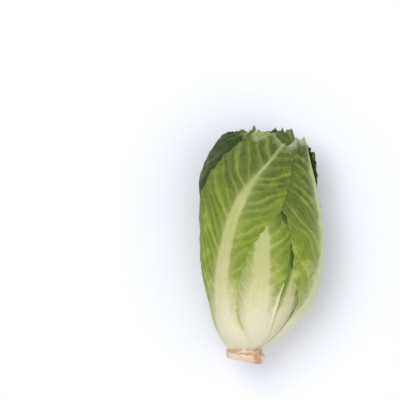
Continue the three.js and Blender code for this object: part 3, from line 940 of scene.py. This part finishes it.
@dataclass(frozen=True)
class LeafFinish:
    """The look of a leaf: cream foot and rib, green blade, lighter veins, pale thin edge."""

    kind: Kind
    greens: Ramp = GREENS
    foot: Colour = from_screen(222, 218, 189)
    ribs: Ramp = RIBS
    patch: Colour = from_screen(126, 150, 34)
    vein: Colour = from_screen(176, 188, 94)
    # The pale rim colour: the edge's own paleness and a painted highlight.
    edge: Colour = from_screen(222, 223, 192)
    # Dark green for flecks and between the veins, and the colour of the painted shade beside
    # edges.
    deep: Colour = from_screen(72, 102, 28)
    # Colour of the painted shade in open crevices.
    pit_shade: Colour = from_screen(62, 84, 12)
    # Colour of the painted shade in the crease beside an overlying edge, low on the leaf.
    seam_shade: Colour = from_screen(148, 156, 50)
    pale_until: float = 0.34
    vein_share: float = 0.34
    shine: float = 0.3
    green_side: float = 0.0
    green_edge: float = 0.0
    pale_side: float = 0.0
    beside_rib: float = 0.0
    pale_wedge: float = 40.0
    edge_shade: float = 1.0
    veins: Veins = Veins()

    def material(self) -> bpy.types.Material:
        """Build the finish.

        Returns:
            The material.
        """
        board = Board(self.kind.value)
        rise, blend, noise = board.rise, board.blend, board.noise
        across, along, seed, share, signed, ribbed, rim, aged, shade = board.read(*MARKS)
        side = abs(signed)
        plane = board.spot(across * 0.1, along * 0.1, seed)
        broad, mid = noise(plane, 0.75), noise(plane, 1.7, 4.0)
        fleck = noise(plane, 3.7, 2.0)
        uneven = mid - 0.5

        rib = rise(ribbed + uneven * 0.5, share * 0.7 + 1.1, 0.8 - share * 0.4)
        near = rise(ribbed, 3.6, 0.9)
        rib_share = rib * rise(aged, 0.88, 0.64)
        main, fork, bold = self.veins.away(board, across, along, seed)
        width = (1.3 - side * 0.8) * self.veins.width
        soft = rise(share, 0.12, 0.34)
        lines = rise(main, width, width * 0.1) * bold
        lines = lines + rise(fork, width * 0.8, 0.0) * 0.4
        lines = lines * (1.3 - side * 0.7)
        vein = board.math("MULTIPLY", lines, noise(plane, 1.1) * 1.5, clamp=True)
        halo = rise(main, 2.6, 0.2) * bold * 0.8 + rise(fork, 1.8, 0.2) * 0.3
        net = rise(board.cells(plane, 3.1), 0.1, 0.0)
        fine = rise(board.cells(plane, 8.0), 0.12, 0.0)

        tone = share + (broad - 0.5) * 0.95 + uneven * 0.5
        green = board.ramp(tone, self.greens)
        green = blend(rise(fleck, 0.5, 0.72) * 0.3, green, self.deep)
        spots = rise(broad + uneven * 0.5, 0.5, 0.66) * rise(share, 0.75, 0.5)
        green = blend(spots * 0.55, green, self.patch)
        green = blend(rise(main, 1.4, 3.4) * soft * 0.2, green, self.deep)
        green = blend(halo * 0.26 + net * 0.1 + fine * 0.06, green, self.vein)
        high_up = rise(share, 0.6, 0.92) * 0.65
        green = blend(vein * (1.0 - high_up) * self.vein_share, green, self.vein)
        ribs = board.ramp(aged + uneven * 0.1, self.ribs)
        green_foot = rise(signed, 0.15, 0.5) * rise(ribbed, 1.0, 1.7) * self.green_side
        low_edge = rise(signed, -0.74, -0.96) * rise(share, 0.08, 0.2)
        green_foot = green_foot + low_edge * self.green_edge
        younger = aged - board.larger(signed, 0.0) * self.pale_side
        pale = self._pale(board, abs(across), younger, uneven) * (1.0 - green_foot)
        colour = blend(pale, green, ribs)
        near = near * rise(aged, 1.0, 0.7)
        colour = blend(near * 0.28 + rib_share, colour, ribs)
        # Painted shade on the blade beside the edges of leaves that lie over it.
        close = board.smaller(shade, 1.0)
        shaded = (close * close * 0.42 + close * 0.22) * soft * (1.0 - rib * 0.7) * self.edge_shade
        colour = blend(shaded, colour, self.deep)
        # Painted shade: a narrow line in the crease right beside an overlying edge, low on the
        # leaf.
        seam_shaded = rise(shade, 0.84, 1.0) * (0.5 - soft * 0.42) * rise(share, 0.1, 0.19)
        colour = blend(seam_shaded, colour, self.seam_shade)
        low = rise(share + uneven * 0.14, self.pale_until, self.pale_until * 0.3)
        colour = blend(low * (rib * 0.3 + 0.7) * (1.0 - green_foot), colour, self.foot)
        # Pale rim: the edge's own paleness and a painted highlight.
        colour = blend(rim, colour, self.edge)
        # Painted shade in the open crevices where an overlying edge gapes.
        pitted = rise(shade, 1.1, 1.6) * (soft * 0.3 + 0.6)
        colour = blend(pitted, colour, blend(soft, self.seam_shade, self.pit_shade))

        streak = noise(board.spot(across * 0.9, along * 0.03, seed), 1.0, 2.0)
        colour = blend(rib * rise(streak, 0.5, 0.75) * 0.3, colour, self.foot)
        relief = vein * 0.3 + net * 0.15 + fine * 0.08 + mid * 0.9 + fleck * 0.35
        height = relief * soft * (1.0 - rib) + streak * rib * 0.6
        return board.finish(
            Base_Color=colour,
            Roughness=mid * 0.24 + 0.36 - rib * 0.04,
            Normal=board.bump(height, BUMP_DEPTH, 0.8),
            Subsurface_Radius=(0.9, 1.0, 0.35),
            Specular_IOR_Level=self.shine,
            **FLESH,
        )

    def _pale(self, board: Board, a: Socket, share: Socket, uneven: Socket) -> Socket:
        """How pale the blade is beside its rib, in a wedge that narrows upwards."""
        left = board.larger(1.0 - share / (self.pale_until * 2.0), 0.0)
        # beside_rib widens the pale band beside the side leaf's rib: partly the rib's own pale
        # tissue, partly a painted sheen along the head's outline.
        beside = board.rise(share, 0.78, 0.46) * self.beside_rib
        reach = left * left * self.pale_wedge + beside + 1.5
        return board.rise(a / reach + uneven * 0.7, 1.15, 0.2) * 0.8


@dataclass(frozen=True)
class StumpFinish:
    """The look of the cut stem: pinkish cream with brown scars and a browned cut."""

    name: str = "stem"
    flesh: Colour = from_screen(228, 208, 190)
    warm: Colour = from_screen(214, 178, 148)
    scar: Colour = from_screen(188, 136, 98)
    dark: Colour = from_screen(146, 96, 62)
    pith: Colour = from_screen(222, 204, 170)

    def material(self) -> bpy.types.Material:
        """Build the finish.

        Returns:
            The material.
        """
        board = Board(self.name)
        rise, blend, noise = board.rise, board.blend, board.noise
        scar, cut, brown, east, north, up = board.read(*STUMP_MARKS)
        plane = board.spot(east * 0.1, up * 0.1, north * 0.1)
        mottle, fine = noise(plane, 3.0, 4.0), noise(plane, 11.0, 4.0)
        layers = noise(board.spot(east * 0.05, up * 0.7, north * 0.05), 2.0, 3.0)
        colour = blend(rise(mottle, 0.42, 0.66) * 0.5, self.flesh, self.warm)
        colour = blend(rise(layers, 0.52, 0.64) * 0.35, colour, self.scar)
        # Towards the scar colour on the scars and where the stem is darker.
        browned = rise(board.larger(scar, brown) + (mottle - 0.5) * 0.9, 0.3, 0.8)
        colour = blend(browned * 0.7, colour, self.scar)
        colour = blend(rise(fine + brown * 0.25, 0.6, 0.8) * 0.55, colour, self.dark)

        away = (east * east + north * north) ** 0.5
        ring = rise(abs(away + (mottle - 0.5) * 2.0 - 8.2), 1.1, 0.2)
        face = blend(rise(mottle, 0.4, 0.65) * 0.6, self.warm, self.scar)
        middle = rise(away + (mottle - 0.5) * 3.0, 6.6, 4.4)
        face = blend(middle * 0.75, face, self.pith)
        face = blend(ring * 0.55, face, self.dark)
        face = blend(rise(fine, 0.55, 0.7) * 0.35, face, self.dark)
        colour = blend(cut, colour, face)
        return board.finish(
            Base_Color=colour,
            Roughness=mottle * 0.25 + 0.55,
            Normal=board.bump(mottle * 0.7 + fine * 0.35 + layers * 0.3, BUMP_DEPTH, 0.9),
            Subsurface_Radius=(1.0, 0.7, 0.45),
            **FLESH,
        )


@dataclass(frozen=True)
class FloorFinish:
    """A plain pale floor."""

    name: str = "pale_floor"
    colour: Colour = from_screen(236, 238, 246)

    def material(self) -> bpy.types.Material:
        """Build the finish.

        Returns:
            The material.
        """
        board = Board(self.name)
        return board.finish(Base_Color=self.colour, Roughness=0.7, Specular_IOR_Level=0.2)


FINISHES: tuple[LeafFinish, ...] = (
    LeafFinish(
        Kind.OUTER, green_side=0.75, green_edge=0.85, pale_wedge=64.0, vein_share=0.28
    ),
    LeafFinish(
        Kind.SIDE, greens=SIDE_GREENS, beside_rib=9.5, ribs=LIT_GREEN_RIBS, pale_until=0.27,
        vein_share=0.32, veins=Veins(width=1.5),
    ),
    LeafFinish(
        Kind.DARK, greens=DARK_GREENS, patch=from_screen(86, 110, 36),
        vein=from_screen(112, 132, 72), deep=from_screen(40, 60, 22),
        seam_shade=from_screen(90, 106, 44), vein_share=0.42, shine=0.18,
    ),
    LeafFinish(
        Kind.INNER, pale_until=0.4, vein_share=0.55, pale_side=0.7, edge_shade=0.4,
        veins=Veins(width=1.3),
    ),
    LeafFinish(
        Kind.CREST, greens=CREST_GREENS, foot=from_screen(208, 205, 173), pale_until=0.36,
        shine=0.2,
    ),
    LeafFinish(
        Kind.HEART, greens=HEART_GREENS, patch=from_screen(176, 190, 88),
        vein=from_screen(222, 224, 160), deep=from_screen(150, 168, 70),
    ),
)


# ------------------------ meshes

Box = tuple[float, float, float, float]
# The parts of a leaf's map across: its outer face, its inner face and the strip between.
LEAF_MAP = ((0.0, 0.6), (0.66, 1.0), (0.62, 0.64))
WHOLE_LEAF: Box = (0.01, 0.01, 0.99, 0.99)


def placed(name: str, data: Any, place: Place = (0.0, 0.0, 0.0)) -> bpy.types.Object:
    """Put an object in the scene.

    Args:
        name: Its name.
        data: Its mesh, lamp or lens.
        place: Where it is, in metres.

    Returns:
        The object.
    """
    made = bpy.data.objects.new(name, data)
    made.location = place
    bpy.context.scene.collection.objects.link(made)
    return made


@dataclass
class Plan:
    """A mesh in the making: points in millimetres, quads, their map and their marks."""

    points: list[Floats] = field(default_factory=list)
    faces: list[tuple[NDArray[Any], ...]] = field(default_factory=list)
    marks: dict[str, list[Floats]] = field(default_factory=dict)
    count: int = 0
    cap_place: float = 0.004

    def _quads(self, quads: NDArray[Any], places: Floats, turned: bool, smooth: bool) -> None:
        """Add quads and where each of their corners is on the map."""
        order = slice(None, None, -1 if turned else 1)
        self.faces.append((quads[:, order], places[:, order], np.full(len(quads), smooth)))

    def grid(
        self, points: Floats, marks: Marks, box: Box, turned: bool, closed: bool = False
    ) -> int:
        """Add a grid of points and the quads between them.

        Args:
            points: Points in rows and columns.
            marks: Numbers held at each point.
            box: Its part of the map: low X, low Y, high X and high Y.
            turned: Whether the faces look the other way.
            closed: Whether the last column meets the first.

        Returns:
            The number of its first point.
        """
        rows, columns = points.shape[:2]
        first = self.count
        self.count += rows * columns
        self.points.append(points.reshape(-1, 3))
        for mark, values in marks.items():
            self.marks.setdefault(mark, []).append(np.ravel(values))
        r, c = np.meshgrid(np.arange(rows - 1), np.arange(columns - (not closed)), indexing="ij")
        r, c = r.ravel(), c.ravel()
        corners = ((r, c), (r + 1, c), (r + 1, c + 1), (r, c + 1))
        quads = np.stack([first + i * columns + j % columns for i, j in corners], 1)
        wide, high = box[2] - box[0], box[3] - box[1]
        steps = columns - (not closed)
        across = np.stack([box[0] + wide * j / steps for _, j in corners], 1)
        up = np.stack([box[1] + high * i / (rows - 1) for i, _ in corners], 1)
        self._quads(quads, np.stack([across, up], -1), turned, True)
        return first

    def rim(self, rows: int, columns: int, first: int, under: int, box: Box) -> None:
        """Join the borders of two grids.

        Args:
            rows: Rows of points in each.
            columns: Columns of points in each.
            first: The number of the upper grid's first point.
            under: The number of the lower grid's first point.
            box: Its part of the map.
        """
        grid = np.arange(rows * columns).reshape(rows, columns)
        foot, high, top, low = grid[0, :-1], grid[:-1, -1], grid[-1, :0:-1], grid[:0:-1, 0]
        loop = np.concatenate([foot, high, top, low])
        after = np.roll(loop, -1)
        quads = np.stack([first + loop, first + after, under + after, under + loop], 1)
        step = (box[3] - box[1]) / len(loop)
        start = box[1] + step * np.arange(len(loop))
        end = start + step
        left, right = np.full(len(loop), box[0]), np.full(len(loop), box[2])
        corners = ((left, start), (left, end), (right, end), (right, start))
        self._quads(quads, np.stack([np.stack(pair, -1) for pair in corners], 1), False, False)

    def tube(self, points: Floats, marks: Marks, box: Box) -> None:
        """Add rings of points and close both ends with strips of quads.

        Args:
            points: Points, with a row for each ring.
            marks: Numbers held at each point.
            box: Its part of the map.
        """
        rings, sides = points.shape[:2]
        first = self.grid(points, marks, box, False, True)
        half = np.arange(0, sides // 2 - 1)
        for start, turned in ((first, True), (first + (rings - 1) * sides, False)):
            left, right = start + half, start + sides - 1 - half
            quads = np.stack([left, left + 1, right - 1, right], 1)
            self._quads(quads, np.full((len(quads), 4, 2), self.cap_place), turned, False)

    def build(self, name: str) -> bpy.types.Object:
        """Make the object.

        Args:
            name: Its name.

        Returns:
            The object.
        """
        points = np.concatenate(self.points)
        quads, places, smooth = (np.concatenate(part) for part in zip(*self.faces))
        mesh = bpy.data.meshes.new(name)
        mesh.vertices.add(len(points))
        mesh.vertices.foreach_set("co", (points * MM).astype(np.float32).ravel())
        mesh.loops.add(quads.size)
        mesh.loops.foreach_set("vertex_index", quads.astype(np.int32).ravel())
        mesh.polygons.add(len(quads))
        mesh.polygons.foreach_set("loop_start", np.arange(0, quads.size, 4, dtype=np.int32))
        mesh.polygons.foreach_set("use_smooth", smooth)
        layer = mesh.uv_layers.new(name="OFBake")
        layer.uv.foreach_set("vector", places.astype(np.float32).ravel())
        for mark, values in self.marks.items():
            layer = mesh.attributes.new(mark, "FLOAT", "POINT")
            layer.data.foreach_set("value", np.concatenate(values).astype(np.float32))
        mesh.update(calc_edges=True)
        mesh.validate()
        return placed(name, mesh)


def add_leaf(plan: Plan, stack: Stack, k: int, coarser: int, box: Box) -> None:
    """Add leaf k of the stack to a mesh.

    Args:
        plan: The mesh.
        stack: The leaves.
        k: The leaf's place among them.
        coarser: What its steps are divided by.
        box: Its part of the map.
    """
    outer, inner, marks = stack.points(k, coarser)
    low, bottom, high, top = box
    wide = high - low
    parts = [(low + a * wide, bottom, low + b * wide, top) for a, b in LEAF_MAP]
    first = plan.grid(outer, marks, parts[0], False)
    under = plan.grid(inner, marks, parts[1], True)
    plan.rim(*outer.shape[:2], first, under, parts[2])


@dataclass(frozen=True)
class Heart:
    """The tips of the youngest leaves, standing out of a closed core."""

    stack: Stack
    coarser: int
    sides: int = 180
    rows: int = 110
    span: tuple[float, float] = (34.0, 176.0)
    sink: float = 0.4
    closing_from: float = 116.0
    closing: float = 1.5
    folds: int = 3
    fold_step: float = 1.5
    fold_pitch: float = 42.0
    fold_over: tuple[float, float] = (96.0, 118.0)
    bud_over: tuple[float, float] = (100.0, 130.0)

    def build(self, name: str) -> bpy.types.Object:
        """Make the piece.

        Args:
            name: Its name.

        Returns:
            The object.
        """
        plan = Plan()
        tips = range(self.stack.wrappers, len(self.stack.leaves))
        wide = 0.8 / len(tips)
        for i, k in enumerate(tips):
            box = (0.02 + wide * i, 0.02, 0.01 + wide * (i + 1), 0.98)
            add_leaf(plan, self.stack, k, self.coarser, box)
        station, turn = np.meshgrid(
            np.linspace(*self.span, self.rows),
            np.linspace(0.0, 360.0, self.sides, endpoint=False),
            indexing="ij",
        )
        depth, _, _ = self.stack.layer(self.stack.wrappers, turn, station)
        closed = smoothstep(station, self.closing_from, self.span[1])
        fold = np.mod(self.folds * turn / 360.0 + station / self.fold_pitch, 1.0)
        folded = self.fold_step * (1.0 - fold) * smoothstep(station, *self.fold_over)
        depth = depth + self.sink + self.closing * closed + folded
        points = self.stack.body.place(turn, station, depth)
        axis, _ = self.stack.body.axis(points[..., 1])
        middle = np.stack([axis, points[..., 1], self.stack.body.axis_height + 0 * axis], -1)
        drawn_in = np.sqrt(1.0 - 0.998 * closed**2)[..., None]
        points = middle + (points - middle) * drawn_in
        along = self.stack.body.path(station)
        across = 14.0 * np.sin(np.radians(turn * 2.5)) * (1.0 - smoothstep(station, 130.0, 155.0))
        zero = np.zeros(turn.shape)
        bud = smoothstep(station, *self.bud_over)
        share = 0.2 + along / 500.0 + 0.3 * fold * bud
        # Painted shade at the foot of each fold step of the closed core.
        fold_shade = 0.3 * (1.0 - smoothstep(fold, 0.0, 0.3)) * bud
        held = (across, along, zero + 2.0, share, zero, zero + 3.0, zero, share, fold_shade)
        plan.tube(points, dict(zip(MARKS, held)), (0.84, 0.02, 0.98, 0.98))
        return plan.build(name)


@dataclass(frozen=True)
class Stump:
    """The cut stem with the scars of pulled-off leaves, and the cone inside the head."""

    body: HeadBody
    sides: int = 160
    cut_slope: float = 0.19
    face_rings: int = 24
    scars: int = 8
    low: float = -84.0
    steps: tuple[tuple[float, float, int], ...] = ((-84.0, -71.0, 60), (-70.0, -43.0, 30))
    profile: tuple[tuple[float, float], ...] = (
        (-84.0, 11.8),
        (-82.5, 12.6),
        (-79.0, 12.8),
        (-74.8, 12.0),
        (-71.0, 9.4),
        (-66.0, 7.2),
        (-56.0, 5.4),
        (-43.0, 3.0),
    )

    def build(self, name: str) -> bpy.types.Object:
        """Make the piece.

        Args:
            name: Its name.

        Returns:
            The object.
        """
        around = np.linspace(0.0, 2 * math.pi, self.sides, endpoint=False)
        heights, radii = np.array(self.profile).T
        y = np.concatenate([np.linspace(*stretch) for stretch in self.steps])
        wall_y, wall_a = np.meshgrid(y, around, indexing="ij")
        scar = self._scars(wall_a, wall_y)
        worn = 0.45 * np.sin(7 * wall_a + 2.4) * smoothstep(wall_y, -70, -78)
        rough = 0.5 * grain(wall_a * 4, wall_y / 3, 3) + 0.22 * grain(wall_a * 13, wall_y * 1.1, 6)
        r = np.interp(wall_y, heights, radii) + worn + rough + 0.9 * scar - 0.3
        inset = np.linspace(0.02, 0.98, self.face_rings)[:, None]
        face_r = inset * r[0][None, :]
        face_x, face_z = face_r * np.cos(around), face_r * np.sin(around)
        pitted = 0.3 * grain(face_x / 3, face_z / 3, 8) + 0.15 * grain(face_x, face_z, 9)
        radius = np.concatenate([face_r, r])
        dished = 0.5 * (1 - inset**4) + pitted * (1 - inset**6)
        height = np.concatenate([self.low + dished, wall_y])
        angle = np.broadcast_to(around, radius.shape)
        east, north = radius * np.cos(angle), radius * np.sin(angle)
        axis, _ = self.body.axis(height)
        tilt = self.cut_slope * smoothstep(height, -76.0, -82.0)
        points = np.stack([axis + east, height - tilt * east, self.body.axis_height + north], -1)
        cut = np.zeros(radius.shape)
        cut[: self.face_rings] = 1.0
        # Darker near the leaves and in a patch on one upper side.
        under_leaves = 0.6 * smoothstep(height, -78.0, -76.0)
        one_side = 0.7 * np.exp(-(((np.mod(angle + 2.4, 2 * math.pi) - 3.2) / 0.6) ** 2))
        scarred = np.concatenate([np.zeros(face_r.shape), scar])
        held = (scarred, cut, np.maximum(under_leaves, one_side), east, north, height - self.low)
        plan = Plan()
        plan.tube(points, dict(zip(STUMP_MARKS, held)), (0.02, 0.02, 0.98, 0.98))
        return plan.build(name)

    def _scars(self, a: Floats, y: Floats) -> Floats:
        """Raised crescents where leaves were pulled off.

        Args:
            a: Angles round the stump.
            y: Places along it.

        Returns:
            1 on a scar's lip and 0 away from it.
        """
        total = np.zeros(a.shape)
        for i in range(self.scars):
            centre, high = 2.4 * i, -78.6 + 1.5 * math.sin(2.1 * i)
            off = np.mod(a - centre + math.pi, 2 * math.pi) - math.pi
            lip = y - high - 1.5 * off**2 + 0.35 * grain(a * 6, y * 0 + i, 4)
            mark = np.exp(-((lip / 0.55) ** 2)) * smoothstep(np.abs(off), 0.85, 0.55)
            total = np.maximum(total, mark)
        return total


# ------------------------ studio

SQUARE = ((-1, -1), (1, -1), (1, 1), (-1, 1))


@dataclass(frozen=True)
class Studio:
    """The pale floor, the soft light and the camera straight above."""

    across: float = 0.276
    centre: tuple[float, float] = (-0.0438, 0.027)
    height: float = 2.3
    floor: float = 4.0
    level: float = 0.036
    sensor: float = 36.0
    lens_end: float = 20.0
    sky: Colour = (0.98, 0.985, 1.0)
    sky_strength: float = 0.6
    lights: tuple[tuple[str, Place, float, float], ...] = (
        ("key_light", (-0.5, 0.42, 1.6), 1.0, 15.5),
        ("fill_light", (0.7, -0.2, 1.5), 1.3, 7.0),
    )

    def build(self) -> None:
        """Make the floor, lights and camera."""
        self._floor()
        for light in self.lights:
            self._light(*light)
        self._world()
        self._camera()

    def _floor(self) -> None:
        """A wide plane at the height that the head rests on."""
        mesh = bpy.data.meshes.new("floor")
        corners = [(self.floor * x, self.floor * y, 0.0) for x, y in SQUARE]
        mesh.from_pydata(corners, [], [(0, 1, 2, 3)])
        mesh.materials.append(FloorFinish().material())
        floor = placed("floor", mesh)

    def _light(self, name: str, place: Place, size: float, power: float) -> None:
        """A square soft light that looks at the head.

        Args:
            name: Its name.
            place: Where it is.
            size: Its width.
            power: Its power in watts.
        """
        lamp = bpy.data.lights.new(name, "AREA")
        lamp.size = size
        lamp.energy = power
        aim = np.array([0.0, 0.0, self.level]) - np.array(place)
        tilt = math.acos(-aim[2] / float(np.linalg.norm(aim)))
        made = placed(name, lamp, place)
        made.rotation_euler = (tilt, 0.0, math.atan2(aim[1], aim[0]) - math.pi / 2)

    def _world(self) -> None:
        """An even, faintly cool surround."""
        world = bpy.data.worlds.new("surround")
        world.use_nodes = True
        back = world.node_tree.nodes["Background"]
        back.inputs["Color"].default_value = (*self.sky, 1.0)
        back.inputs["Strength"].default_value = self.sky_strength
        bpy.context.scene.world = world
        bpy.context.scene.view_settings.view_transform = "Standard"

    def _camera(self) -> None:
        """A long lens straight above."""
        lens = bpy.data.cameras.new("camera")
        lens.sensor_width = self.sensor
        lens.lens = self.sensor * (self.height - self.level) / self.across
        lens.clip_end = self.lens_end
        bpy.context.scene.camera = placed("camera", lens, (*self.centre, self.height))


# ------------------------ the head


def settle(piece: bpy.types.Object, look: bpy.types.Material, node: str) -> None:
    """Give a piece its finish and its place on the part.

    Args:
        piece: The piece.
        look: Its finish.
        node: The part's node that it replaces.
    """
    piece.data.materials.append(look)
    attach(piece, "root")
    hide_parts(node)
    LOG.info("%s: %d faces", piece.name, len(piece.data.polygons))


def main() -> None:
    """Build the head and its studio, piece by piece."""
    logging.basicConfig(level=logging.INFO, format="%(name)s: %(message)s")
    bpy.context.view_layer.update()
    coarser = 1
    body = HeadBody()
    stack = Stack(body, LEAVES + TIPS, len(LEAVES))
    looks = {finish.kind: finish.material() for finish in FINISHES}
    Studio().build()
    LOG.info("studio ready")

    for k, leaf in enumerate(LEAVES):
        plan = Plan()
        add_leaf(plan, stack, k, coarser, WHOLE_LEAF)
        settle(plan.build(f"{leaf.name}_blade"), looks[leaf.kind], leaf.name)
    settle(Heart(stack, coarser).build("heart_leaves"), looks[Kind.HEART], "heart")
    settle(Stump(body).build("stump"), StumpFinish().material(), "stem")

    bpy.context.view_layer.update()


if __name__ == "__main__":
    main()
